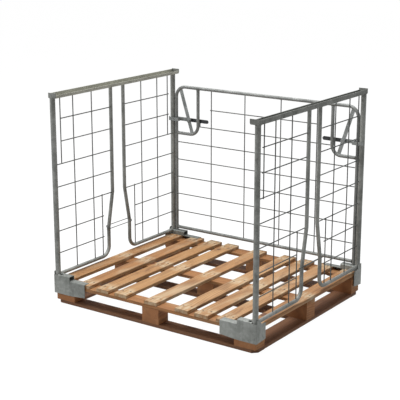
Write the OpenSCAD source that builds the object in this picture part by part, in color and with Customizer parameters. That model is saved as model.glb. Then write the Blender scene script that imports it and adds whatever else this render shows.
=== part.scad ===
// Stackable pallet cage: a timber pallet that carries a lift-off frame of galvanised tube and mesh.
// X runs along the open front edge, Y from front to back, Z up; the origin is the middle of the
// pallet's underside. Lengths are millimetres.

/* [Pallet] */
// Width of the pallet along its front edge
pallet_w = 1200; // [1000:10:1400]
// Depth of the pallet
pallet_d = 1000; // [800:10:1200]
// Thickness of every pallet board
board_t = 17; // [14:0.5:25]
// Height of the blocks
block_h = 75; // [65:1:95]
// Width of a corner block along X
block_w = 118; // [90:1:145]
// Depth of every block along Y, and width of the boards that lie on the blocks
block_d = 78; // [70:1:100]
// Width of the middle blocks along X
block_mid_w = 100; // [80:1:145]
// Width of the two outer deck boards
deck_outer_w = 78; // [60:1:100]
// Width of the seven inner deck boards
deck_board_w = 76; // [60:1:85]
// Gap beside an outer deck board
deck_gap_outer = 64; // [40:1:80]
// Gap between the second and the third deck board
deck_gap_second = 46; // [30:1:60]
// Gap between the third and the fourth deck board
deck_gap_third = 38; // [25:1:50]
// Width of the base boards that run from front to back
base_side_w = 100; // [80:1:118]
// Corner cut of the base's front and rear boards
base_chamfer = 24; // [5:1:40]
// Broken edge of every board and block
arris = 1.5; // [0.5:0.5:3]
// Diameter of a nail head
nail_d = 9; // [5:0.5:12]
// Thickness of a nail head
nail_head_t = 1.5; // [1:0.1:3]

/* [Corner brackets] */
// Thickness of the folded plate
plate_t = 3; // [2:0.5:4]
// Gap between the pallet and the plate
corner_gap = 7; // [3:0.5:12]
// Reach of the bracket along the front or the back
bracket_len = 202; // [180:1:240]
// Reach of the gate pocket, from the corner
pocket_len = 105; // [95:1:130]
// Inner height of the gate pocket
pocket_h = 20; // [14:1:30]
// Distance that the bracket hangs below the deck
bracket_drop = 74; // [50:1:90]
// Reach of the side wing, from the corner
wing_len = 78; // [60:1:110]
// Height of the wing above the deck, beside the post
wing_rise = 39; // [25:1:50]
// Reach of the flange that rests on the deck
flange_reach = 28; // [20:1:36]
// Step inwards of the plate beyond the pocket
joggle = 2; // [1:0.5:3]
// Outside radius of every fold
fold_r = 5; // [4:0.5:6]

/* [Posts and stacking rails] */
// Diameter of a corner post
post_d = 27; // [21:0.5:30]
// Wall of a corner post
post_wall = 2; // [1.5:0.5:3]
// Height of the stacking rails' underside above the floor
rail_z = 1054; // [900:1:1400]
// Reach of a stacking rail inwards of the posts' axis
rail_in = 34; // [28:1:42]
// Width of a stacking rail
rail_w = 48; // [46:1:60]
// Height of a rail's outer wall
rail_outer_h = 22; // [18:1:35]
// Height of a rail's inner lip above the rail's underside
rail_lip_h = 15; // [10:1:18]
// Height of the plate that closes a rail's end
end_plate_h = 25; // [18:1:38]
// Diameter of a post plug's head, in the rail
plug_head_d = 14; // [10:0.5:15]

/* [Side panels] */
// Diameter of the bent side tubes
tube_d = 19; // [15:0.5:20]
// Wall of the side tubes and the gate's tubes
tube_wall = 1.5; // [1:0.5:2.5]
// Half distance between the two bent tubes of a side, at the top
tube_top_y = 51; // [40:1:60]
// Half distance between them, at the bottom
tube_low_y = 88; // [75:1:100]
// Height where the bent tubes start to spread
spread_top_z = 490; // [450:1:520]
// Height where they stop spreading
spread_low_z = 300; // [280:1:340]
// Height of the bottom rails' axis above the deck
side_rail_rise = 21; // [15:1:30]
// Radius of the bend into the bottom rail
side_bend_r = 53; // [40:1:60]
// Diameter of the mesh wires
wire_d = 5.5; // [4:0.5:6]
// Height of the first side mesh wire
side_wire_top_z = 945; // [920:1:1000]
// Pitch of the side mesh wires
side_wire_pitch = 114.3; // [105:0.1:118]
// Distance of the long wires from the middle, the inner and the outer one
side_wire_inner_y = 204; // [180:1:240]
side_wire_outer_y = 346; // [300:1:370]
// Distance of the short upper wire from the post
side_wire_upper_in = 38.4; // [25:0.1:60]
// Distance of the short lower wire from the middle
side_wire_lower_y = 137; // [130:1:160]

/* [Tie loops] */
// Diameter of the loop's wire
loop_wire_d = 4; // [3:0.5:5]
// Tilt of the loop
loop_tilt = 27; // [15:1:30]
// Diameter of the peg that carries the loop
loop_peg_d = 6; // [5:0.5:8]

/* [Gate] */
// Diameter of the gate's tubes
gate_d = 18; // [15:0.5:20]
// Gap between a gate leg and the post beside it
gate_post_gap = 2; // [1.5:0.5:6]
// Height of the top tube's axis
gate_top_z = 983; // [850:1:1000]
// Height of the bottom tube's axis
gate_low_z = 169; // [165:1:200]
// Radius of the two top bends
gate_bend_r = 60; // [40:1:80]
// Radial clearance of a gate leg in its pocket
leg_clear = 0.8; // [0.4:0.1:1.5]
// Distance between a hand-hole tube's axis and the gate leg's axis
hand_hole_w = 147.2; // [130:0.1:170]
// Height of a hand-hole tube's horizontal leg
hand_z = 720; // [700:1:745]
// Radius of the hand-hole tube's bend
hand_bend_r = 53; // [40:1:60]
// Height of the first gate mesh wire
gate_wire_top_z = 871; // [850:1:900]
// Pitch of the gate mesh wires
gate_wire_pitch = 100.4; // [90:0.1:105]
// Distance of the upright gate wires from the middle, the inner and the outer one
gate_wire_inner_x = 113; // [90:1:140]
gate_wire_outer_x = 332; // [300:1:350]

/* [Latches] */
// Distance of the latch pivot from the gate leg's axis
pivot_in = 84.2; // [75:0.1:94]
// Height of the latch pivot
pivot_z = 799; // [790:1:810]
// Diameter of the pivot bolt
bolt_d = 10; // [8:0.5:12]
// Radial running clearance on the pivot bolt
bolt_clear = 0.05; // [0.02:0.01:0.1]
// Thickness of the lever, the tongue and the brace
bar_t = 4; // [3:0.5:4.5]
// Height of the lever
lever_h = 20; // [16:1:24]
// Reach of the lever's handle, from the pivot towards the middle
handle_len = 125; // [100:1:135]
// Reach of the lever beyond the pivot
lever_tail = 90; // [60:1:92]
// Reach of the tongue, from the pivot across the post
tongue_len = 123; // [116:1:130]
// Distance of the tongue's step from the pivot
tongue_step = 60; // [55:1:64]
// Height of the tongue
tongue_h = 18; // [9:1:20]
// Height of the tongue's turned-up tip above it
tongue_lip = 4; // [2:1:12]
// Diameter of a rivet head
rivet_head_d = 11; // [9:0.5:14]
// Thickness of a rivet head, and of the bolt's flat head
rivet_head_t = 1.1; // [0.8:0.1:1.3]
// Width of the brace
brace_w = 20; // [14:1:22]
// Drop of the brace's upper end below the axis of the gate's top tube
brace_top_drop = 10; // [5:1:15]
// Distance of the brace's lower end from the gate leg's axis
brace_low_in = 109.5; // [102:0.1:114]
// Width of a keeper
keeper_w = 17; // [14:1:24]
// Thickness of a keeper
keeper_t = 3; // [2:0.5:4]
// Height of a keeper
keeper_h = 23; // [15:1:30]

/* [Hidden] */
$fn = 64;
steel = [0.55, 0.57, 0.56];
dark_steel = [0.16, 0.17, 0.17];
black_plastic = [0.08, 0.09, 0.1];
timber = [0.78, 0.6, 0.42];
base_timber = [0.55, 0.35, 0.22];

// Gap left between pieces that are welded, laid or driven against each other
weld_gap = 0.3;
// Depth to which nail heads and plugs lie below the face around them
sink = 0.2;
// Reach of a wire's end beyond the wire that it is welded to
overhang = 3;

// Levels of the pallet
block_z = board_t;
stringer_z = block_z + block_h;
deck_z = stringer_z + board_t;
deck_top = deck_z + board_t;

// Inner faces of the brackets, and the posts that touch them
inner_x = pallet_w / 2 + corner_gap;
inner_y = pallet_d / 2 + corner_gap;
post_x = inner_x - weld_gap - post_d / 2;
post_y = inner_y - weld_gap - post_d / 2;
floor_top = deck_top + plate_t;
roof_z = floor_top + pocket_h;
roof_top = roof_z + plate_t;
bracket_z = deck_top - bracket_drop;
pocket_in = inner_x + plate_t - pocket_len;
bracket_in = inner_x + plate_t - bracket_len;
pocket_out = post_x - tube_d / 2 - 1.2;
flange_in = pallet_d / 2 - flange_reach;
wing_in = inner_y + plate_t - wing_len;

// Gate legs
gate_x = post_x - post_d / 2 - gate_post_gap - gate_d / 2;
gate_y = inner_y - gate_d / 2 - leg_clear - 2;
gate_foot = floor_top + weld_gap;
leg_hole_r = gate_d / 2 + leg_clear;
hand_x = gate_x - hand_hole_w;
pivot_x = gate_x - pivot_in;

// Side mesh
side_rail_z = deck_top + side_rail_rise;
side_rail_top = side_rail_z + tube_d / 2 + weld_gap;
post_side = post_y - post_d / 2 - weld_gap;
spread_angle = atan((tube_low_y - tube_top_y) / (spread_top_z - spread_low_z));
side_wire_upper_y = post_side - side_wire_upper_in;
wire_step = wire_d + weld_gap;
rail_end = inner_y - plate_t;

// Layers of the latch: the tongue in front of the post, the brace in the gate's own plane and the
// lever behind the gate
tongue_back = post_y - post_d / 2 - 0.7;
tongue_front = tongue_back - bar_t;
brace_front = gate_y - bar_t / 2;
brace_back = gate_y + bar_t / 2;
gate_back = gate_y + gate_d / 2;
lever_front = gate_back + weld_gap;
lever_back = lever_front + bar_t;
rivet_d = 6;
rivet_x = [26, 48];
washer_d = 28;
washer_t = 2;
nut_d = 19;
nut_t = 4;

// Places its children, drawn for the right rear corner, at the corner on side sx and end sy
module at_corner(sx, sy) {
    mirror([sx < 0 ? 1 : 0, 0, 0]) mirror([0, sy < 0 ? 1 : 0, 0]) children();
}

// Section of a board or block with its four edges broken
module broken_edge_rect(w, h, c) {
    polygon([
        [-w / 2 + c, -h / 2], [w / 2 - c, -h / 2], [w / 2, -h / 2 + c], [w / 2, h / 2 - c],
        [w / 2 - c, h / 2], [-w / 2 + c, h / 2], [-w / 2, h / 2 - c], [-w / 2, -h / 2 + c]
    ]);
}

// Board along X, centred on the given point
module board_x(x, y, z, length, width) {
    translate([x - length / 2, y, z + board_t / 2])
        rotate([90, 0, 90]) linear_extrude(length) broken_edge_rect(width, board_t, arris);
}

// Board along Y, centred on the given point
module board_y(x, y, z, length, width) {
    translate([x, y + length / 2, z + board_t / 2])
        rotate([90, 0, 0]) linear_extrude(length) broken_edge_rect(width, board_t, arris);
}

// Middles of the nine deck boards, from left to right
outer_deck_x = pallet_w / 2 - deck_outer_w / 2;
second_deck_x = outer_deck_x - deck_outer_w / 2 - deck_gap_outer - deck_board_w / 2;
third_deck_x = second_deck_x - deck_board_w - deck_gap_second;
fourth_deck_x = third_deck_x - deck_board_w - deck_gap_third;
deck_x = [
    -outer_deck_x, -second_deck_x, -third_deck_x, -fourth_deck_x, 0,
    fourth_deck_x, third_deck_x, second_deck_x, outer_deck_x
];
function deck_w(i) = i == 0 || i == len(deck_x) - 1 ? deck_outer_w : deck_board_w;
block_row_y = pallet_d / 2 - block_d / 2;

// Two nails hold each deck board to each stringer; the outer pairs stay clear of the brackets
nail_row_y = [-block_row_y + 14, -block_d / 4, block_row_y - 14];
function nail_at(i, row, side) = [
    deck_x[i] + side * deck_w(i) / 4,
    nail_row_y[row] + (row == 1 ? (side + 1) * block_d / 4 : side * 6)
];

// Heads of the nails of one deck board, grown by the given gap and reaching up to height top
module nail_heads(i, gap, top) {
    low = deck_top - sink - nail_head_t;
    for (row = [0 : 2], side = [-1, 1])
        translate([nail_at(i, row, side).x, nail_at(i, row, side).y, low])
            cylinder(d = nail_d + 2 * gap, h = top - low, $fn = 24);
}

module deck_board(i) {
    color(timber) difference() {
        board_y(deck_x[i], 0, deck_z, pallet_d, deck_w(i));
        nail_heads(i, weld_gap, deck_top + 1);
    }
}

module deck_nails() {
    color(dark_steel) for (i = [0 : len(deck_x) - 1]) nail_heads(i, 0, deck_top - sink);
}

module stringer(y) {
    color(timber) board_x(0, y, stringer_z, pallet_w, block_d);
}

module block(x, y, w) {
    translate([x, y, block_z]) linear_extrude(block_h) broken_edge_rect(w, block_d, arris);
}

module block_row(y) {
    color(base_timber) {
        for (side = [-1, 1]) block(side * (pallet_w - block_w) / 2, y, block_w);
        block(0, y, block_mid_w);
    }
}

// Front or rear base board, with the base's corners cut off
module base_board_end(sy) {
    color(base_timber) at_corner(1, sy) intersection() {
        board_x(0, block_row_y, 0, pallet_w, block_d);
        linear_extrude(board_t) polygon([
            [-pallet_w / 2, pallet_d / 2 - block_d], [pallet_w / 2, pallet_d / 2 - block_d],
            [pallet_w / 2, pallet_d / 2 - base_chamfer], [pallet_w / 2 - base_chamfer, pallet_d / 2],
            [-pallet_w / 2 + base_chamfer, pallet_d / 2], [-pallet_w / 2, pallet_d / 2 - base_chamfer]
        ]);
    }
}

module base_board_along(x) {
    color(base_timber) board_y(x, 0, 0, pallet_d - 2 * block_d, base_side_w);
}

// Middle base board, between the two side ones
module base_board_across() {
    color(base_timber) board_x(0, 0, 0, pallet_w - 2 * base_side_w, block_d);
}

// Quarter of a ring in the first quadrant: the section of a fold
module fold_2d(r, t) {
    intersection() {
        difference() {
            circle(r);
            circle(r - t);
        }
        square(r);
    }
}

// Section of a folded plate's fold, extruded along X from x0 to x1; its corner is at (y, z)
module fold_along_x(x0, x1, y, z) {
    translate([x0, y - fold_r, z - fold_r]) rotate([90, 0, 90])
        linear_extrude(x1 - x0) fold_2d(fold_r, plate_t);
}

// Plan of the long plate from the pocket's fold to its inner end, with the step inwards
module stepped_plan() {
    polygon([
        [bracket_in, inner_y - joggle], [bracket_in, inner_y - joggle + plate_t],
        [pocket_in - joggle, inner_y - joggle + plate_t], [pocket_in, inner_y + plate_t],
        [pocket_in + joggle, inner_y + plate_t], [pocket_in + joggle, inner_y],
        [pocket_in, inner_y], [pocket_in - joggle, inner_y - joggle]
    ]);
}

// Corner bracket: one plate folded round the pallet's corner, with a flange on the deck and a
// raised pocket that takes a gate leg
module corner_bracket() {
    outer_x = inner_x + plate_t;
    outer_y = inner_y + plate_t;
    color(steel) difference() {
        union() {
            // Long plate below the flange
            difference() {
                translate([0, 0, bracket_z]) linear_extrude(deck_top - bracket_z) stepped_plan();
                translate([bracket_in - 1, inner_y - joggle - 1, bracket_z - 1])
                    rotate([90, 0, 0]) mirror([0, 0, 1]) linear_extrude(plate_t + joggle + 2)
                        polygon([[0, 0], [pocket_in - bracket_in, 0], [0, 8]]);
                translate([bracket_in - 1, inner_y - joggle - 1, floor_top - fold_r])
                    cube([pocket_in - bracket_in + 1, plate_t + joggle + 2, fold_r]);
            }
            fold_along_x(bracket_in, pocket_in, inner_y - joggle + plate_t, floor_top);
            // Flange that rests on the deck
            translate([bracket_in, flange_in, deck_top])
                cube([pocket_in - bracket_in, inner_y - joggle + plate_t - fold_r - flange_in, plate_t]);
            // Floor of the pocket and foot of the post
            translate([pocket_in, flange_in, deck_top])
                cube([inner_x - pocket_in, inner_y - flange_in, plate_t]);
            // Front of the pocket
            translate([pocket_in, inner_y, bracket_z])
                cube([outer_x - fold_r - pocket_in, plate_t, roof_top - fold_r - bracket_z]);
            fold_along_x(pocket_in, pocket_out, outer_y, roof_top);
            // Roof and back of the pocket
            translate([pocket_in, flange_in + fold_r, roof_z])
                cube([pocket_out - pocket_in, outer_y - flange_in - 2 * fold_r, plate_t]);
            translate([pocket_in, flange_in, floor_top])
                cube([pocket_out - pocket_in, plate_t, roof_top - fold_r - floor_top]);
            translate([0, 2 * flange_in, 0]) mirror([0, 1, 0])
                fold_along_x(pocket_in, pocket_out, flange_in, roof_top);
            // Corner fold
            translate([outer_x - fold_r, outer_y - fold_r, bracket_z])
                linear_extrude(roof_top - fold_r - bracket_z) fold_2d(fold_r, plate_t);
            // Side wing, taller beside the post
            translate([inner_x, 0, 0]) rotate([90, 0, 90]) linear_extrude(plate_t) polygon([
                [wing_in, bracket_z + 5], [wing_in, deck_top + 9],
                [post_side - 12, deck_top + 13], [post_side, deck_top + wing_rise],
                [outer_y - fold_r, deck_top + wing_rise], [outer_y - fold_r, bracket_z]
            ]);
        }
        translate([post_x, post_y, floor_top]) cylinder(d = post_d + 2 * weld_gap, h = pocket_h * 2);
        translate([gate_x, gate_y, roof_z - 1]) cylinder(r = leg_hole_r, h = plate_t + 2);
    }
}

// Corner post: round tube from the bracket's foot to the stacking rail
module post() {
    color(steel) translate([post_x, post_y, floor_top]) difference() {
        cylinder(d = post_d, h = rail_z - floor_top);
        translate([0, 0, -1]) cylinder(d = post_d - 2 * post_wall, h = rail_z - floor_top + 2);
    }
}

// Section of the stacking rail: the inner lip, the floor, and the tall outer wall
module rail_section_2d() {
    square([plate_t, rail_lip_h]);
    translate([plate_t + weld_gap, 0]) square([rail_w - 2 * (plate_t + weld_gap), plate_t]);
    translate([rail_w - plate_t, 0]) square([plate_t, rail_outer_h]);
}

// Stacking rail of the right side: a floor between two upright bars makes the channel that the
// next pallet stands in
module stacking_rail() {
    color(steel) difference() {
        rail_length() rail_section_2d();
        for (end = [-1, 1]) translate([post_x, end * post_y, rail_z - 1])
            cylinder(d = plug_head_d + 2 * weld_gap, h = plate_t + 2);
    }
}

// Runs a section of the rail from one end plate to the other
module rail_length() {
    translate([post_x - rail_in, rail_end, rail_z])
        rotate([90, 0, 0]) linear_extrude(2 * rail_end) children();
}

// Plate on the end of a rail, rounded at its lower inner corner
module rail_end_plate() {
    r = 9;
    color(steel) translate([post_x - rail_in, rail_end + plate_t, rail_z])
        rotate([90, 0, 0]) linear_extrude(plate_t) {
            translate([r, r]) circle(r);
            translate([r, 0]) square([rail_w - r, end_plate_h]);
            translate([0, r]) square([r + 1, end_plate_h - r]);
        }
}

// Push-in plug: its head lies flush in the rail's floor and its barrel fills the post's bore
module post_plug() {
    barrel_h = 14;
    color(black_plastic) translate([post_x, post_y, rail_z]) {
        translate([0, 0, -weld_gap - barrel_h])
            cylinder(d = post_d - 2 * post_wall - 2 * weld_gap, h = barrel_h);
        translate([0, 0, -weld_gap - 1])
            cylinder(d = plug_head_d, h = plate_t - sink + weld_gap + 1);
    }
}

// Bent round rod in the XY plane: straight lengths between the points p and an arc of radius
// r[i] at each inner point; where r[i] is 0 the two lengths are mitred at a slight angle
function unit(a, b) = (b - a) / norm(b - a);
function heading(a, b) = atan2(b.y - a.y, b.x - a.x);
function turn(p, i) =
    let (a = unit(p[i - 1], p[i]), b = unit(p[i], p[i + 1])) atan2(a.x * b.y - a.y * b.x, a * b);
function at_end(p, i) = i == 0 || i == len(p) - 1;
function mitred(p, r, i) = !at_end(p, i) && r[i] == 0;
function setback(p, r, d, i) =
    at_end(p, i) ? 0 : mitred(p, r, i) ? -d : r[i] * tan(abs(turn(p, i)) / 2);

// Block that lies beyond the mitre at point i, or before it where side is -1
module mitre_waste(p, i, d, side) {
    translate([p[i].x, p[i].y, 0]) rotate(heading(p[i - 1], p[i]) + turn(p, i) / 2)
        translate([side > 0 ? 0 : -2 * d, -d, -d]) cube([2 * d, 2 * d, 2 * d]);
}

module bent_rod(p, r, d) {
    for (i = [0 : len(p) - 2]) {
        dir = unit(p[i], p[i + 1]);
        from = p[i] + setback(p, r, d, i) * dir;
        to = p[i + 1] - setback(p, r, d, i + 1) * dir;
        difference() {
            translate([from.x, from.y, 0]) rotate([0, 90, heading(p[i], p[i + 1])])
                cylinder(d = d, h = norm(to - from));
            if (mitred(p, r, i)) mitre_waste(p, i, d, -1);
            if (mitred(p, r, i + 1)) mitre_waste(p, i + 1, d, 1);
        }
    }
    for (i = [1 : len(p) - 2]) if (r[i] > 0) {
        dir = unit(p[i - 1], p[i]);
        side = turn(p, i) > 0 ? 1 : -1;
        centre = p[i] - setback(p, r, d, i) * dir + side * r[i] * [-dir.y, dir.x];
        first = side > 0 ? heading(p[i - 1], p[i]) - 90 : heading(p[i], p[i + 1]) + 90;
        translate([centre.x, centre.y, 0]) rotate(first)
            rotate_extrude(angle = abs(turn(p, i))) translate([r[i], 0]) circle(d = d);
    }
}

module bent_tube(p, r, d, wall) {
    difference() {
        bent_rod(p, r, d);
        bent_rod(p, r, d - 2 * wall);
    }
}

module ring_2d(d, wall) {
    difference() {
        circle(d = d);
        circle(d = d - 2 * wall);
    }
}

// Turns a path drawn in the XY plane into the YZ plane of the right side panel
module in_side_plane() {
    translate([post_x, 0, 0]) rotate([90, 0, 90]) children();
}

// Bent tube of a side: down from the rail, outwards, down again and along to the post, with the
// peg that carries the tie loop
loop_end_r = (tube_d / 2 + weld_gap + loop_wire_d / 2) / cos(loop_tilt);
peg_z = spread_low_z - loop_wire_d - loop_peg_d / 2 - 2;
module side_tube() {
    color(steel) {
        in_side_plane() bent_tube(
            [
                [tube_top_y, rail_z - weld_gap], [tube_top_y, spread_top_z],
                [tube_low_y, spread_low_z], [tube_low_y, side_rail_z], [post_side, side_rail_z]
            ],
            [0, 0, 0, side_bend_r, 0], tube_d, tube_wall
        );
        translate([post_x, tube_low_y + tube_d / 2 - 1, peg_z])
            rotate([-90, 0, 0]) cylinder(d = loop_peg_d, h = loop_wire_d + 2);
    }
}

module wire_z(x, y, z0, z1) {
    translate([x, y, z0]) cylinder(d = wire_d, h = z1 - z0, $fn = 24);
}

module wire_x(x0, x1, y, z) {
    translate([x0, y, z]) rotate([0, 90, 0]) cylinder(d = wire_d, h = x1 - x0, $fn = 24);
}

module wire_y(y0, y1, x, z) {
    translate([x, y0, z]) rotate([-90, 0, 0]) cylinder(d = wire_d, h = y1 - y0, $fn = 24);
}

// Welded mesh of half a side panel: long and short uprights in the plane of the tubes, level
// wires on the inner face. The top two level wires stop at the short upper wire and the lowest
// two at the short lower wire.
tube_reach = tube_top_y + tube_d / 2 / cos(spread_angle) + weld_gap;
function side_wire_z(i) = side_wire_top_z - i * side_wire_pitch;
function spread_y(z) = max(0, spread_top_z - z) * tan(spread_angle);
module side_mesh() {
    level_x = post_x - wire_step;
    under_rail = rail_z - weld_gap;
    color(steel) {
        for (y = [side_wire_inner_y, side_wire_outer_y]) wire_z(post_x, y, side_rail_top, under_rail);
        wire_z(post_x, side_wire_upper_y, side_wire_z(2) - overhang, under_rail);
        wire_z(post_x, side_wire_lower_y, side_rail_top + 0.5, side_wire_z(4) + overhang);
        for (i = [0 : 6]) wire_y(
            i < 5 ? tube_reach + spread_y(side_wire_z(i)) : side_wire_lower_y - overhang,
            i < 2 ? side_wire_upper_y + overhang : post_side,
            level_x, side_wire_z(i)
        );
    }
}

// Oblong wire ring that ties the two bent tubes of a side together
module tie_loop() {
    color(steel) translate([post_x, 0, spread_low_z]) rotate([0, -loop_tilt, 0]) {
        for (side = [-1, 1]) {
            translate([side * loop_end_r, -tube_low_y, 0])
                rotate([-90, 0, 0]) cylinder(d = loop_wire_d, h = 2 * tube_low_y, $fn = 24);
            translate([0, side * tube_low_y, 0]) rotate(side > 0 ? 0 : 180)
                rotate_extrude(angle = 180) translate([loop_end_r, 0]) circle(d = loop_wire_d, $fn = 24);
        }
    }
}

// Turns a path drawn in the XY plane into the upright plane of the gate
module in_gate_plane() {
    translate([0, gate_y, 0]) rotate([90, 0, 0]) children();
}

// Round bar of diameter d along the gate frame
module frame_path(d) {
    in_gate_plane() bent_rod(
        [[-gate_x, gate_foot], [-gate_x, gate_top_z], [gate_x, gate_top_z], [gate_x, gate_foot]],
        [0, gate_bend_r, gate_bend_r, 0], d
    );
}

// Gate frame: one tube bent over at both top corners; its legs stand in the rear pockets
module gate_frame() {
    color(steel) difference() {
        frame_path(gate_d);
        frame_path(gate_d - 2 * tube_wall);
    }
}

leg_side = gate_x - gate_d / 2 - weld_gap;
module gate_bottom_tube() {
    color(steel) translate([-leg_side, gate_y, gate_low_z]) rotate([0, 90, 0])
        linear_extrude(2 * leg_side) ring_2d(gate_d, tube_wall);
}

function gate_wire_z(i) = gate_wire_top_z - i * gate_wire_pitch;
module gate_mesh() {
    level_y = gate_y - wire_step;
    hand_side = hand_x - gate_d / 2 - weld_gap;
    foot_z = gate_low_z + gate_d / 2 + weld_gap;
    top_z = gate_top_z - gate_d / 2 - weld_gap;
    color(steel) {
        for (x = [gate_wire_inner_x, gate_wire_outer_x], side = [-1, 1])
            wire_z(side * x, gate_y, foot_z, top_z);
        for (i = [0 : 6]) {
            reach = i == 0 ? gate_wire_outer_x + overhang : i == 1 ? hand_side : leg_side;
            wire_x(-reach, reach, level_y, gate_wire_z(i));
        }
    }
}

// Round bar of diameter d along a hand-hole tube
module hand_hole_path(d) {
    in_gate_plane() bent_rod(
        [[hand_x, gate_top_z - gate_d / 2 - weld_gap], [hand_x, hand_z], [leg_side, hand_z]],
        [0, hand_bend_r, 0], d
    );
}

// Tube that frames a hand hole in the gate's upper corner
module hand_hole_tube() {
    color(steel) difference() {
        hand_hole_path(gate_d);
        hand_hole_path(gate_d - 2 * tube_wall);
    }
}

// Flat brace across a hand hole: it runs from the hand-hole tube past the pivot to the top bend
brace_low = [gate_x - brace_low_in, hand_z];
brace_slope = (pivot_x - brace_low.x) / (pivot_z - hand_z);
brace_top_z = gate_top_z - brace_top_drop;
brace_top = [brace_low.x + brace_slope * (brace_top_z - hand_z), brace_top_z];
module latch_brace() {
    color(steel) difference() {
        translate([brace_low.x, brace_back, brace_low.y])
            rotate([90, -heading(brace_low, brace_top), 0])
                translate([0, -brace_w / 2, 0]) cube([norm(brace_top - brace_low), brace_w, bar_t]);
        frame_path(gate_d + 2 * weld_gap);
        hand_hole_path(gate_d + 2 * weld_gap);
        translate([pivot_x, brace_back + 1, pivot_z]) rotate([90, 0, 0])
            cylinder(d = bolt_d + 2 * weld_gap, h = bar_t + 2);
    }
}

// Keeper: a small angle on the back of the hand-hole tube that the lever's handle lies on
module latch_keeper() {
    shelf_top = pivot_z - lever_h / 2 - weld_gap;
    color(steel) translate([hand_x - keeper_w / 2, 0, 0]) rotate([90, 0, 90])
        linear_extrude(keeper_w) polygon([
            [lever_front, shelf_top], [lever_back + rivet_head_t, shelf_top],
            [lever_back + rivet_head_t, shelf_top - keeper_t], [lever_front + keeper_t, shelf_top - keeper_t],
            [lever_front + keeper_t, shelf_top - keeper_h], [lever_front, shelf_top - keeper_h]
        ]);
}

// Pivot bolt: head and washer in front of the brace, spacer behind it and flat head behind the
// lever
module latch_pivot() {
    bolt_back = lever_back + weld_gap + rivet_head_t;
    color(steel) translate([pivot_x, 0, pivot_z]) rotate([90, 0, 0]) {
        translate([0, 0, -bolt_back]) cylinder(d = bolt_d, h = bolt_back - brace_front + nut_t);
        translate([0, 0, -brace_front]) cylinder(d = washer_d, h = washer_t);
        translate([0, 0, -brace_front + washer_t]) cylinder(d = nut_d, h = nut_t);
        translate([0, 0, -lever_front + weld_gap])
            cylinder(d = nut_d, h = lever_front - brace_back - 2 * weld_gap);
        translate([0, 0, -bolt_back]) cylinder(d = nut_d, h = rivet_head_t);
    }
}

// Lever: flat bar with a rounded handle end, a bore for the pivot and two rivet holes
module latch_lever() {
    color(dark_steel) translate([pivot_x, lever_back, pivot_z]) rotate([90, 0, 0])
        linear_extrude(bar_t) difference() {
            union() {
                translate([-handle_len + lever_h / 2, 0]) circle(d = lever_h);
                translate([-handle_len + lever_h / 2, -lever_h / 2])
                    square([handle_len - lever_h / 2 + lever_tail, lever_h]);
            }
            circle(r = bolt_d / 2 + bolt_clear);
            for (x = rivet_x) translate([x, 0]) circle(d = rivet_d + 2 * weld_gap, $fn = 24);
        }
}

// Tongue: a strip riveted to the lever's front, stepped forward beside the gate's leg; it lies
// across the leg and the post, and its tip is turned up
module latch_tongue() {
    root = nut_d / 2 + 5;
    root_front = lever_front - bar_t;
    tip = 5;
    color(steel) translate([pivot_x, 0, pivot_z]) {
        translate([0, 0, -tongue_h / 2]) linear_extrude(tongue_h) polygon([
            [root, root_front], [root, lever_front], [tongue_step + bar_t, lever_front],
            [tongue_step + bar_t, tongue_back], [tongue_len, tongue_back], [tongue_len, tongue_front],
            [tongue_step, tongue_front], [tongue_step, root_front]
        ]);
        translate([tongue_len - tip, tongue_front, 0]) cube([tip, bar_t, tongue_h / 2 + tongue_lip]);
        for (x = rivet_x) translate([x, 0, 0]) rotate([-90, 0, 0]) {
            translate([0, 0, root_front - rivet_head_t])
                cylinder(d = rivet_head_d, h = rivet_head_t, $fn = 24);
            translate([0, 0, root_front]) cylinder(d = rivet_d, h = lever_back - root_front, $fn = 24);
            translate([0, 0, lever_back]) cylinder(d = rivet_head_d, h = rivet_head_t, $fn = 24);
        }
    }
}

for (i = [0 : 8]) deck_board(i);
stringer(-block_row_y);  // stringer_front
stringer(0);  // stringer_middle
stringer(block_row_y);  // stringer_rear
block_row(-block_row_y);  // blocks_front
block_row(0);  // blocks_middle
block_row(block_row_y);  // blocks_rear
base_board_end(-1);  // base_board_front
base_board_end(1);  // base_board_rear
base_board_along(-(pallet_w - base_side_w) / 2);  // base_board_left
base_board_across();  // base_board_middle
base_board_along((pallet_w - base_side_w) / 2);  // base_board_right
deck_nails();
at_corner(-1, -1) corner_bracket();  // bracket_front_left
at_corner(1, -1) corner_bracket();  // bracket_front_right
at_corner(-1, 1) corner_bracket();  // bracket_rear_left
at_corner(1, 1) corner_bracket();  // bracket_rear_right
at_corner(-1, -1) post();  // post_front_left
at_corner(1, -1) post();  // post_front_right
at_corner(-1, 1) post();  // post_rear_left
at_corner(1, 1) post();  // post_rear_right
at_corner(-1, 1) stacking_rail();  // stacking_rail_left
at_corner(1, 1) stacking_rail();  // stacking_rail_right
for (sx = [-1, 1], sy = [-1, 1]) at_corner(sx, sy) rail_end_plate();  // rail_end_plates
for (sx = [-1, 1], sy = [-1, 1]) at_corner(sx, sy) post_plug();  // post_plugs
at_corner(-1, -1) side_tube();  // side_tube_front_left
at_corner(1, -1) side_tube();  // side_tube_front_right
at_corner(-1, 1) side_tube();  // side_tube_rear_left
at_corner(1, 1) side_tube();  // side_tube_rear_right
at_corner(-1, -1) side_mesh();  // side_mesh_front_left
at_corner(1, -1) side_mesh();  // side_mesh_front_right
at_corner(-1, 1) side_mesh();  // side_mesh_rear_left
at_corner(1, 1) side_mesh();  // side_mesh_rear_right
at_corner(-1, 1) tie_loop();  // tie_loop_left
at_corner(1, 1) tie_loop();  // tie_loop_right
gate_frame();
gate_bottom_tube();
gate_mesh();
at_corner(-1, 1) hand_hole_tube();  // hand_hole_tube_left
at_corner(1, 1) hand_hole_tube();  // hand_hole_tube_right
at_corner(-1, 1) latch_brace();  // latch_brace_left
at_corner(1, 1) latch_brace();  // latch_brace_right
at_corner(-1, 1) latch_keeper();  // latch_keeper_left
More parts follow.
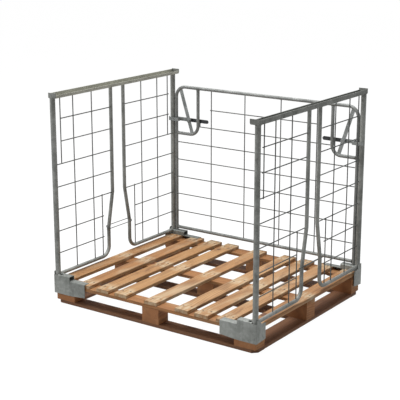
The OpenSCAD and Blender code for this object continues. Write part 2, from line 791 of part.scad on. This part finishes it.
at_corner(1, 1) latch_keeper();  // latch_keeper_right
at_corner(-1, 1) latch_pivot();  // latch_pivot_left
at_corner(1, 1) latch_pivot();  // latch_pivot_right
at_corner(-1, 1) latch_lever();  // latch_lever_left
at_corner(1, 1) latch_lever();  // latch_lever_right
at_corner(-1, 1) latch_tongue();  // latch_tongue_left
at_corner(1, 1) latch_tongue();  // latch_tongue_right
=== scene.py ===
"""Looks of a stackable pallet cage: sawn timber, zinc-coated tube and wire, studio floor and camera."""

import math

import bmesh
import bpy
from mathutils import Matrix, Vector


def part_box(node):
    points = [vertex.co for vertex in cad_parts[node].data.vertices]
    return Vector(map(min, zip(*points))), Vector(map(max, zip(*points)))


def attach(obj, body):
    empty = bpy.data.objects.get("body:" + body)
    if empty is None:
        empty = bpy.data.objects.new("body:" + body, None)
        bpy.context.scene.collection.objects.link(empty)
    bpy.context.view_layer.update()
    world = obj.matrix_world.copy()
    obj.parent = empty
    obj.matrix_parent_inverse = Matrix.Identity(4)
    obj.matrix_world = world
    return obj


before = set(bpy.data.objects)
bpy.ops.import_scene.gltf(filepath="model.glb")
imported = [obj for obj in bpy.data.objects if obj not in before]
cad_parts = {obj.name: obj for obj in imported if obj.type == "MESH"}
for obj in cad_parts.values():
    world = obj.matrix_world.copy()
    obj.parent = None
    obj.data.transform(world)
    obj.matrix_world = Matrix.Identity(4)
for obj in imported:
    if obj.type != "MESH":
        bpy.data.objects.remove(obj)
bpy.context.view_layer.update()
scene = bpy.context.scene
scene.view_settings.view_transform = "Standard"

# Camera: a long lens that stands to the right of the open front and looks down on the deck,
# as in the photograph.
camera_place = (3.0895, -4.4669, 1.9761)
camera_tilt = math.radians(75.0)
camera_heading = math.radians(35.18)
camera_data = bpy.data.cameras.new("camera")
camera_data.sensor_width = 36.0
camera_data.lens = 100.1
camera_data.clip_end = 100.0
camera = bpy.data.objects.new("camera", camera_data)
camera.location = camera_place
camera.rotation_euler = (camera_tilt, 0.0, camera_heading)
scene.collection.objects.link(camera)
scene.camera = camera


# Deck boards: nine rough-sawn softwood boards from front to back, nailed to the stringers. The grain
# runs along each board. Knots, grime and weather mark them, and loads have scuffed them pale over
# the stringers.
def put(tree, kind, feeds=(), **options):
    """Adds a shader node; feeds gives its inputs a constant or the socket that drives them."""
    made = tree.nodes.new("ShaderNode" + kind)
    for option, choice in options.items():
        setattr(made, option, choice)
    for slot, source in dict(feeds).items():
        if isinstance(source, bpy.types.NodeSocket):
            tree.links.new(source, made.inputs[slot])
        else:
            made.inputs[slot].default_value = source
    return made


def maths(tree, operation, *terms):
    return put(tree, "Math", enumerate(terms), operation=operation).outputs[0]


def weighed(tree, *parts):
    """Sum of values, each times its weight."""
    total = 0.0
    for value, weight in parts:
        total = maths(tree, "MULTIPLY_ADD", value, weight, total)
    return total


def ramp(tree, value, low, high):
    """Smooth step of a value from 0 at low to 1 at high; it falls where low is the greater."""
    limits = {"Value": value, "From Min": low, "From Max": high}
    return put(tree, "MapRange", limits, interpolation_type="SMOOTHSTEP").outputs[0]


def mixed(tree, share, first, second):
    """The first colour, with that share of the second laid over it."""
    return put(tree, "Mix", {0: share, 6: first, 7: second}, data_type="RGBA").outputs[2]


def stretched(tree, vector, x, y, z):
    return put(tree, "Mapping", {"Vector": vector, "Scale": (x, y, z)}).outputs[0]


def noise(tree, vector, scale, detail, distortion=0.0):
    feeds = {"Vector": vector, "Scale": scale, "Detail": detail, "Distortion": distortion}
    return put(tree, "TexNoise", feeds).outputs["Fac"]


def grain_noise(tree, vector, along, across, detail, distortion=0.0):
    """Noise with so many features to the metre along the grain and across it."""
    return noise(tree, stretched(tree, vector, along, across, across), 1.0, detail, distortion)


def new_group(name, inputs, outputs):
    """A shader node group with named sockets; returns it with its input and output nodes."""
    group = bpy.data.node_groups.new(name, "ShaderNodeTree")
    for label, kind in inputs.items():
        group.interface.new_socket(label, in_out="INPUT", socket_type="NodeSocket" + kind)
    for label, kind in outputs.items():
        group.interface.new_socket(label, in_out="OUTPUT", socket_type="NodeSocket" + kind)
    return group, group.nodes.new("NodeGroupInput").outputs, group.nodes.new("NodeGroupOutput").inputs


def tone(red, green, blue):
    """A colour as a screen shows it, 0 to 255, in the linear values that a shader takes."""
    linear = [((channel / 255 + 0.055) / 1.055) ** 2.4 if channel > 10 else channel / 255 / 12.92
              for channel in (red, green, blue)]
    return (*linear, 1.0)


def build_sawn_timber():
    """Grain, knots, end grain and weathering; X of the vector runs along the grain, in metres."""
    group, given, result = new_group(
        "sawn_timber",
        {"Vector": "Vector", "Early Wood": "Color", "Late Wood": "Color", "Weathered": "Color",
         "End": "Float", "Scuff": "Float", "Ring Width": "Float"},
        {"Color": "Color", "Roughness": "Float", "Height": "Float"})
    vector = given["Vector"]
    axes = put(group, "SeparateXYZ", {0: vector}).outputs

    # Growth rings as bands that wander along the board, with fine fibres and long streaks
    band_wander = 0.11
    warp = grain_noise(group, vector, along=1.6, across=7.0, detail=2.0)
    across = maths(group, "MULTIPLY_ADD", warp, band_wander, maths(group, "ADD", axes[1], axes[2]))
    turns = maths(group, "DIVIDE", across, given["Ring Width"])
    rings = ramp(group, maths(group, "SINE", maths(group, "MULTIPLY", turns, math.tau)), -0.4, 1.0)
    fibre = grain_noise(group, vector, along=9.0, across=420.0, detail=2.0)
    streak = grain_noise(group, vector, along=2.5, across=60.0, detail=3.0)

    # Rings on the sawn ends, round a heart that lies below the board
    heart_depth = 0.03
    end_wander = 0.03
    end_ring_width = 0.0045
    above_heart = maths(group, "ADD", axes[2], heart_depth)
    from_heart = put(group, "CombineXYZ", {0: 0.0, 1: axes[1], 2: above_heart}).outputs[0]
    radius = put(group, "VectorMath", {0: from_heart}, operation="LENGTH").outputs["Value"]
    radius = maths(group, "MULTIPLY_ADD", warp, end_wander, radius)
    end_turns = maths(group, "MULTIPLY", radius, math.tau / end_ring_width)
    end_rings = ramp(group, maths(group, "SINE", end_turns), -0.6, 1.0)

    # Knots: a dark oval with a darker rim in every second cell, and grain that swirls round it
    knot_cells = {"Vector": stretched(group, vector, 4.2, 8.0, 8.0), "Scale": 1.0}
    cell = put(group, "TexVoronoi", knot_cells).outputs
    chance = put(group, "SeparateColor", {0: cell["Color"]}).outputs[0]
    knotted = maths(group, "GREATER_THAN", chance, 0.5)
    knot = maths(group, "MULTIPLY", ramp(group, cell["Distance"], 0.135, 0.085), knotted)
    rim = maths(group, "MULTIPLY", knot, ramp(group, cell["Distance"], 0.06, 0.11))
    swirl = maths(group, "MULTIPLY", ramp(group, cell["Distance"], 0.3, 0.12), knotted)

    # Clean wood, then weathered patches, grime, scuffs and the knots over it
    figure = weighed(group, (rings, 0.42), (ramp(group, fibre, 0.35, 0.75), 0.32),
                     (ramp(group, streak, 0.42, 0.72), 0.34), (swirl, 0.22))
    end_figure = maths(group, "MULTIPLY_ADD", end_rings, 0.5, 0.35)
    long_grain = mixed(group, figure, given["Early Wood"], given["Late Wood"])
    end_grain = mixed(group, end_figure, given["Early Wood"], given["Late Wood"])
    wood = mixed(group, given["End"], long_grain, end_grain)
    patches = grain_noise(group, vector, along=3.0, across=11.0, detail=4.0, distortion=0.6)
    patches = maths(group, "MULTIPLY", ramp(group, patches, 0.5, 0.72), 0.5)
    wood = mixed(group, patches, wood, given["Weathered"])
    grime = grain_noise(group, vector, along=5.0, across=16.0, detail=5.0, distortion=0.9)
    grime = maths(group, "MULTIPLY", ramp(group, grime, 0.47, 0.7), 0.55)
    wood = mixed(group, grime, wood, tone(112, 76, 46))
    scuff_edge = grain_noise(group, vector, along=22.0, across=70.0, detail=4.0)
    scuffed = maths(group, "MULTIPLY", given["Scuff"], ramp(group, scuff_edge, 0.36, 0.62))
    wood = mixed(group, maths(group, "MULTIPLY", scuffed, 0.75), wood, given["Weathered"])
    knot_tone = mixed(group, rim, tone(98, 56, 30), tone(52, 28, 16))
    wood = mixed(group, maths(group, "MULTIPLY", knot, 0.85), wood, knot_tone)

    group.links.new(wood, result["Color"])
    group.links.new(maths(group, "MULTIPLY_ADD", fibre, 0.22, 0.62), result["Roughness"])
    group.links.new(weighed(group, (fibre, 0.65), (rings, -0.35), (knot, 0.5)), result["Height"])
    return group


sawn_timber = build_sawn_timber()


def new_material(name):
    """A material, its node tree and its texture coordinates."""
    material = bpy.data.materials.new(name)
    material.use_nodes = True
    return material, material.node_tree, put(material.node_tree, "TexCoord").outputs


def finish_surface(tree, finish, bump_depth, metallic=0.0):
    """Wires a finish group into the Principled shader of its material."""
    shader = tree.nodes["Principled BSDF"]
    tree.links.new(finish.outputs["Color"], shader.inputs["Base Color"])
    tree.links.new(finish.outputs["Roughness"], shader.inputs["Roughness"])
    shader.inputs["Metallic"].default_value = metallic
    relief = {"Height": finish.outputs["Height"], "Strength": 1.0, "Distance": bump_depth}
    tree.links.new(put(tree, "Bump", relief).outputs["Normal"], shader.inputs["Normal"])


def timber(name, grain, early, late, weathered, shift, ring_width=0.011, scuff_rows=()):
    """Sawn timber with its grain along the axis "X", "Y" or "Z", scuffed where a row crosses it.

    The shift slides the figure along the grain, so that no two boards match.
    """
    scuff_faint, scuff_full = 0.075, 0.02
    material, tree, coordinates = new_material(name)
    place = put(tree, "SeparateXYZ", {0: coordinates["Object"]}).outputs
    facing = put(tree, "SeparateXYZ", {0: coordinates["Normal"]}).outputs
    lengthwise, widthwise, upward = {"X": (0, 1, 2), "Y": (1, 0, 2), "Z": (2, 0, 1)}[grain]
    along = maths(tree, "ADD", place[lengthwise], shift)
    vector = put(tree, "CombineXYZ", {0: along, 1: place[widthwise], 2: place[upward]}).outputs[0]
    # A face is a sawn end where it looks along the grain
    end = maths(tree, "GREATER_THAN", maths(tree, "ABSOLUTE", facing[lengthwise]), 0.7)
    scuff = 0.0
    for row in scuff_rows:
        away = maths(tree, "ABSOLUTE", maths(tree, "SUBTRACT", place[lengthwise], row))
        scuff = maths(tree, "MAXIMUM", scuff, ramp(tree, away, scuff_faint, scuff_full))
    feeds = {"Vector": vector, "Early Wood": early, "Late Wood": late, "Weathered": weathered,
             "End": end, "Scuff": scuff, "Ring Width": ring_width}
    finish_surface(tree, put(tree, "Group", feeds, node_tree=sawn_timber), bump_depth=0.0006)
    return material


def dress(node_name, material):
    """Gives a CAD node its finish."""
    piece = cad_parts[node_name]
    piece.data.materials.clear()
    piece.data.materials.append(material)
    for face in piece.data.polygons:
        face.material_index = 0


stringers = ("stringer_front", "stringer_middle", "stringer_rear")
deck_rows = [(low.y + high.y) / 2 for low, high in (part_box(name) for name in stringers)]
# The nine boards differ a little in age, from left to right
board_tones = [(182, 136, 88), (178, 130, 82), (182, 138, 90), (188, 146, 98), (182, 138, 92),
               (188, 148, 104), (182, 140, 96), (186, 144, 100), (176, 130, 84)]
late_wood_share = (0.72, 0.64, 0.56)
for number, board_tone in enumerate(board_tones, 1):
    late_tone = [channel * share for channel, share in zip(board_tone, late_wood_share)]
    board_timber = timber(f"deck_timber_{number}", "Y", tone(*board_tone), tone(*late_tone),
                          tone(196, 178, 148), shift=0.37 * number, scuff_rows=deck_rows)
    dress(f"deck_board_{number}", board_timber)

# Stringers: three softwood boards across the pallet, nailed between the deck boards and the blocks.
# They are redder and darker than the deck, because they see less sun and rain.
for number, name in enumerate(stringers):
    stringer_timber = timber(name + "_timber", "X", tone(166, 116, 68), tone(116, 70, 34),
                             tone(180, 146, 106), ring_width=0.013, shift=0.53 * number)
    dress(name, stringer_timber)

# Blocks: nine sawn softwood blocks in three rows, nailed through the stringers and the base boards,
# with end grain to the front and back.
for number, name in enumerate(("blocks_front", "blocks_middle", "blocks_rear")):
    block_timber = timber(name + "_timber", "Y", tone(176, 122, 74), tone(130, 78, 42),
                          tone(176, 132, 90), ring_width=0.012, shift=0.31 * number)
    dress(name, block_timber)

# Base boards: five softwood boards nailed under the blocks, three across and two along, dark
# from the floor's dirt.
for number, side in enumerate(("front", "rear", "left", "middle", "right")):
    grain = "Y" if side in ("left", "right") else "X"
    base_timber = timber(f"base_timber_{side}", grain, tone(124, 83, 52), tone(82, 50, 30),
                         tone(108, 79, 55), ring_width=0.012, shift=0.41 * number)
    dress(f"base_board_{side}", base_timber)


# Deck nails: flat steel heads driven flush, two where a deck board crosses a stringer. They are dull
# brown with a little rust.
def build_metal_skin():
    """Patches, crystals, fine grain and runs of a metal's skin, for zinc, oxide and rust alike."""
    group, given, result = new_group(
        "metal_skin",
        {"Vector": "Vector", "Bright": "Color", "Dull": "Color", "Stain": "Color", "Crystal Size": "Float",
         "Patchiness": "Float", "Stained": "Float", "Roughness": "Float"},
        {"Color": "Color", "Roughness": "Float", "Height": "Float"})
    vector = given["Vector"]
    crystals_per_metre = maths(group, "DIVIDE", 1.0, given["Crystal Size"])
    spread = put(group, "VectorMath", {0: vector, 3: crystals_per_metre}, operation="SCALE").outputs[0]
    cell = put(group, "TexVoronoi", {"Vector": spread, "Scale": 1.0}).outputs
    crystal = put(group, "SeparateColor", {0: cell["Color"]}).outputs[0]
    patch = ramp(group, noise(group, vector, 11.0, 4.0, 0.4), 0.35, 0.68)
    speckle = noise(group, vector, 260.0, 2.0)
    # Runs hang downwards, as the molten zinc and the rain left them
    runs = noise(group, stretched(group, vector, 70.0, 70.0, 5.0), 1.0, 3.0)
    dulled = weighed(group, (crystal, 0.22), (patch, given["Patchiness"]),
                     (ramp(group, runs, 0.45, 0.75), 0.22), (speckle, 0.15))
    skin = mixed(group, dulled, given["Bright"], given["Dull"])
    marks = noise(group, stretched(group, vector, 38.0, 38.0, 16.0), 1.0, 5.0, 0.8)
    marks = maths(group, "MULTIPLY", ramp(group, marks, 0.6, 0.74), given["Stained"])
    skin = mixed(group, marks, skin, given["Stain"])
    rough = maths(group, "MULTIPLY_ADD", crystal, 0.12, given["Roughness"])
    rough = maths(group, "MULTIPLY_ADD", patch, 0.1, rough)
    group.links.new(skin, result["Color"])
    group.links.new(rough, result["Roughness"])
    group.links.new(weighed(group, (runs, 0.8), (speckle, 0.6)), result["Height"])
    return group


metal_skin = build_metal_skin()


def metal(name, bright, dull, stain, roughness, metallic, crystal=0.011, patchiness=0.5, stained=0.5,
          relief=0.0002):
    """Metal whose skin goes from bright to dull in patches of crystals, with stains over it."""
    material, tree, coordinates = new_material(name)
    feeds = {"Vector": coordinates["Object"], "Bright": bright, "Dull": dull, "Stain": stain,
             "Crystal Size": crystal, "Patchiness": patchiness, "Stained": stained, "Roughness": roughness}
    finish_surface(tree, put(tree, "Group", feeds, node_tree=metal_skin), relief, metallic)
    return material


nail_steel = metal("nail_steel", tone(96, 84, 74), tone(58, 48, 42), tone(110, 62, 34), crystal=0.004,
                   stained=0.9, roughness=0.55, metallic=0.5)
dress("deck_nails", nail_steel)

# Corner brackets: 3 mm plate, folded, hot-dip galvanised and weathered to a matt grey with faint
# crystals, runs and scuffs.
bracket_zinc = metal("bracket_zinc", tone(150, 153, 149), tone(112, 115, 111), tone(90, 92, 89),
                     patchiness=0.55, stained=0.6, roughness=0.5, metallic=0.4)
corners = [f"{end}_{side}" for end in ("front", "rear") for side in ("left", "right")]
for corner in corners:
    dress(f"bracket_{corner}", bracket_zinc)

# Posts: round steel tube, welded to the brackets' feet and under the stacking rails, and galvanised
# with the rest of the cage. The welds are rippled fillets, one round each end.
tube_zinc = metal("tube_zinc", tone(154, 156, 152), tone(108, 110, 106), tone(78, 79, 75),
                  patchiness=0.5, stained=0.5, roughness=0.52, metallic=0.3)
for corner in corners:
    dress(f"post_{corner}", tube_zinc)


def weld_ring(shape, centre, axis, radius, throat):
    """Adds a rippled fillet weld round a tube that stands on a face."""
    ripples = 12
    ripple_depth = 0.16
    onto_radius = Matrix.Translation((radius, 0, 0)) @ Matrix.Rotation(math.pi / 2, 4, "X")
    section = bmesh.ops.create_circle(shape, segments=6, radius=throat, matrix=onto_radius)["verts"]
    outline = dict.fromkeys(edge for vertex in section for edge in vertex.link_edges)
    bmesh.ops.spin(shape, geom=[*section, *outline], cent=(0, 0, 0), axis=(0, 0, 1), angle=math.tau,
                   steps=3 * ripples, use_merge=True)
    fresh = [vertex for vertex in shape.verts if not vertex.tag]
    for vertex in fresh:
        angle = math.atan2(vertex.co.y, vertex.co.x)
        core = Vector((math.cos(angle), math.sin(angle), 0)) * radius
        vertex.co = core + (vertex.co - core) * (1.0 + ripple_depth * math.sin(ripples * angle))
        vertex.tag = True
    turn = Vector((0, 0, 1)).rotation_difference(Vector(axis).normalized()).to_matrix().to_4x4()
    bmesh.ops.transform(shape, matrix=Matrix.Translation(centre) @ turn, verts=fresh)


def finished_piece(shape, name, material, body):
    """Turns a bmesh into a piece that rides on a body."""
    bmesh.ops.recalc_face_normals(shape, faces=shape.faces)
    # A spin makes its faces in any order, so they are put in one that is the same each time
    shape.verts.index_update()
    shape.faces.sort(key=lambda face: sum(corner.index ** 2 for corner in face.verts))
    mesh = bpy.data.meshes.new(name)
    shape.to_mesh(mesh)
    shape.free()
    for face in mesh.polygons:
        face.use_smooth = True
    mesh.materials.append(material)
    piece = bpy.data.objects.new(name, mesh)
    scene.collection.objects.link(piece)
    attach(piece, body)


weld_zinc = metal("weld_zinc", tone(134, 136, 132), tone(86, 88, 84), tone(66, 66, 62), crystal=0.004,
                  patchiness=0.6, roughness=0.5, metallic=0.5, relief=0.0004)
# How far a bead's middle lies from the end of its tube
weld_inset = 0.0006
head_weld_inset = 0.0008
foot_throat = 0.0022
head_throat = 0.002
post_welds = bmesh.new()
for corner in corners:
    low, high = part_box(f"post_{corner}")
    middle = (low + high) / 2
    post_r = (high.x - low.x) / 2
    weld_ring(post_welds, (middle.x, middle.y, low.z + weld_inset), (0, 0, 1), post_r, foot_throat)
    weld_ring(post_welds, (middle.x, middle.y, high.z - head_weld_inset), (0, 0, -1), post_r, head_throat)
finished_piece(post_welds, "post_welds", weld_zinc, "cage")

# Stacking rails: a galvanised steel channel over each side's posts, flat between a low inner lip and
# a tall outer wall, in which the next pallet stands. The left one is painted paler, as painted light on
# the lit inner faces it shows, and the right one darker, as painted shade on its shaded outer faces.
# Plates close the ends, and black plastic plugs close the posts.
# Painted light and shade: one zinc in a pale lit copy for the left rail and a dark shaded copy for the
# right
rail_lit_and_shaded_tones = {"left": (tone(172, 172, 161), tone(138, 138, 128)),
              "right": (tone(130, 132, 128), tone(96, 98, 94))}
rail_zinc_painted_light_and_shade = {}
for side, (bright, dull) in rail_lit_and_shaded_tones.items():
    rail_zinc_painted_light_and_shade[side] = metal(f"rail_zinc_painted_light_and_shade_{side}", bright, dull, tone(80, 79, 73),
                            patchiness=0.35, stained=0.4, roughness=0.52, metallic=0.3)
    dress(f"stacking_rail_{side}", rail_zinc_painted_light_and_shade[side])
# The end plates take the right rail's darker tones, its painted shade
dress("rail_end_plates", rail_zinc_painted_light_and_shade["right"])
plug_plastic = metal("plug_plastic", tone(44, 46, 50), tone(28, 29, 32), tone(58, 58, 60), crystal=0.003,
                     stained=0.3, roughness=0.5, metallic=0.0)
dress("post_plugs", plug_plastic)

# Side tubes: thin steel tube, bent, from the rail down to the deck and along to the post. It is
# welded at both ends and galvanised with the cage.
side_throat = 0.0016
for corner in corners:
    dress(f"side_tube_{corner}", tube_zinc)
side_welds = bmesh.new()
for corner in corners:
    low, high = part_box(f"side_tube_{corner}")
    outward = 1 if "rear" in corner else -1
    tube_r = (high.x - low.x) / 2
    middle_x = (low.x + high.x) / 2
    inner_y, outer_y = (low.y, high.y) if outward > 0 else (high.y, low.y)
    under_rail = (middle_x, inner_y + outward * tube_r, high.z - weld_inset)
    at_post = (middle_x, outer_y - outward * weld_inset, low.z + tube_r)
    weld_ring(side_welds, under_rail, (0, 0, -1), tube_r, side_throat)
    weld_ring(side_welds, at_post, (0, 1, 0), tube_r, side_throat)
finished_piece(side_welds, "side_tube_welds", weld_zinc, "cage")

# Side mesh: 5.5 mm drawn steel wire, resistance-welded at its crossings, tacked to the tubes and
# galvanised. It looks darker and duller than the tubes.
wire_zinc = metal("wire_zinc", tone(106, 108, 106), tone(68, 70, 68), tone(50, 50, 48), crystal=0.006,
                  patchiness=0.5, stained=0.4, roughness=0.6, metallic=0.15, relief=0.0001)
for corner in corners:
    dress(f"side_mesh_{corner}", wire_zinc)

# Tie loops: bare oblong rings of 4 mm steel wire round the two bent tubes of each side. They rest on
# pegs and slide up the tubes.
for side in ("left", "right"):
    dress(f"tie_loop_{side}", wire_zinc)

# Gate: one bent steel tube with its legs in the rear pockets, a bottom tube welded between the legs,
# and a mesh of the same wire as the sides. It is galvanised as one.
gate_zinc = metal("gate_zinc", tone(138, 140, 138), tone(104, 106, 104), tone(74, 75, 73),
                  patchiness=0.35, stained=0.35, roughness=0.52, metallic=0.3)
dress("gate_frame", gate_zinc)
dress("gate_bottom_tube", gate_zinc)
dress("gate_mesh", wire_zinc)
gate_throat = 0.0018
gate_welds = bmesh.new()
low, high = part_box("gate_bottom_tube")
gate_tube_r = (high.z - low.z) / 2
gate_y = (low.y + high.y) / 2
for end_x, inward in ((low.x, 1), (high.x, -1)):
    at_leg = (end_x + inward * weld_inset, gate_y, low.z + gate_tube_r)
    weld_ring(gate_welds, at_leg, (1, 0, 0), gate_tube_r, gate_throat)

# Hand-hole tubes: bent steel tubes that frame a hand's space in the gate's upper corners, welded
# under its top tube and to its legs.
for side in ("left", "right"):
    node_name = f"hand_hole_tube_{side}"
    dress(node_name, gate_zinc)
    low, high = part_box(node_name)
    inward = 1 if side == "left" else -1
    outer_x, inner_x = (low.x, high.x) if side == "left" else (high.x, low.x)
    under_top = (inner_x - inward * gate_tube_r, gate_y, high.z - weld_inset)
    at_leg = (outer_x + inward * weld_inset, gate_y, low.z + gate_tube_r)
    weld_ring(gate_welds, under_top, (0, 0, -1), gate_tube_r, gate_throat)
    weld_ring(gate_welds, at_leg, (1, 0, 0), gate_tube_r, gate_throat)
finished_piece(gate_welds, "gate_welds", weld_zinc, "gate")

# Latch braces, keepers, pivots and tongues: galvanised flat strip and bolts. A brace runs straight
# across the gate's corner, and a keeper is a small angle on the back of the hand-hole tube. A
# stepped tongue is riveted to its lever and reaches across the post.
strip_zinc = metal("strip_zinc", tone(148, 152, 151), tone(106, 110, 109), tone(80, 83, 83),
                   patchiness=0.4, stained=0.3, roughness=0.46, metallic=0.35)
for side in ("left", "right"):
    for part in ("brace", "keeper", "pivot", "tongue"):
        dress(f"latch_{part}_{side}", strip_zinc)

# Latch levers: flat bar behind the gate, left dark from the mill and rubbed paler by hands; each
# turns on its pivot bolt.
lever_steel = metal("lever_steel", tone(62, 64, 66), tone(38, 40, 42), tone(92, 94, 96), crystal=0.005,
                    patchiness=0.6, stained=0.8, roughness=0.45, metallic=0.4)
for side in ("left", "right"):
    dress(f"latch_lever_{side}", lever_steel)


# Studio: a pale floor that meets a white surround, one broad lamp overhead and a weak one from
# the front left.
def seen_directly(tree):
    """1 for a ray from the camera or one that a shiny or clear surface sends on, else 0."""
    rays = put(tree, "LightPath").outputs
    sent_on = maths(tree, "MAXIMUM", rays["Is Glossy Ray"], rays["Is Transmission Ray"])
    return maths(tree, "MAXIMUM", rays["Is Camera Ray"], sent_on)


floor_reach = 14.0
floor_glow = 0.97
floor_shape = bmesh.new()
bmesh.ops.create_grid(floor_shape, x_segments=1, y_segments=1, size=floor_reach)
floor_mesh = bpy.data.meshes.new("floor")
floor_shape.to_mesh(floor_mesh)
floor_shape.free()
floor_material = bpy.data.materials.new("floor_paint")
floor_material.use_nodes = True
floor_tree = floor_material.node_tree
floor_tree.nodes.clear()
seen = seen_directly(floor_tree)
# The floor glows where it is looked at, and its dark paint there keeps the object's shadow
paint_tone = mixed(floor_tree, seen, (0.55, 0.55, 0.55, 1), (0.09, 0.09, 0.09, 1))
paint = put(floor_tree, "BsdfDiffuse", {"Color": paint_tone}).outputs[0]
glow_strength = maths(floor_tree, "MULTIPLY", seen, floor_glow)
glow = put(floor_tree, "Emission", {"Color": (1, 1, 1, 1), "Strength": glow_strength}).outputs[0]
both = put(floor_tree, "AddShader", {0: paint, 1: glow}).outputs[0]
put(floor_tree, "OutputMaterial", {"Surface": both})
floor_mesh.materials.append(floor_material)
floor = bpy.data.objects.new("floor", floor_mesh)
scene.collection.objects.link(floor)

surround_light = 0.3
world = bpy.data.worlds.new("surround")
scene.world = world
world.use_nodes = True
world_tree = world.node_tree
seen = seen_directly(world_tree)
# White where it is seen, and a weaker light on everything else
world_strength = maths(world_tree, "MULTIPLY_ADD", seen, 1.0 - surround_light, surround_light)
sky = world_tree.nodes["Background"]
sky.inputs["Color"].default_value = (1.0, 1.0, 1.0, 1.0)
world_tree.links.new(world_strength, sky.inputs["Strength"])


def lamp(name, place, aim, size, watts):
    """A round soft lamp that shines from its place towards aim."""
    data = bpy.data.lights.new(name, "AREA")
    data.shape = "DISK"
    data.size = size
    data.energy = watts
    lamp_object = bpy.data.objects.new(name, data)
    lamp_object.location = place
    lamp_object.rotation_euler = (Vector(aim) - Vector(place)).to_track_quat("-Z", "Y").to_euler()
    scene.collection.objects.link(lamp_object)


lamp("overhead_lamp", place=(-0.6, 0.1, 4.3), aim=(0.0, 0.1, 0.3), size=3.0, watts=215.0)
lamp("front_lamp", place=(-3.6, -3.9, 2.6), aim=(0.0, 0.0, 0.5), size=2.5, watts=75.0)
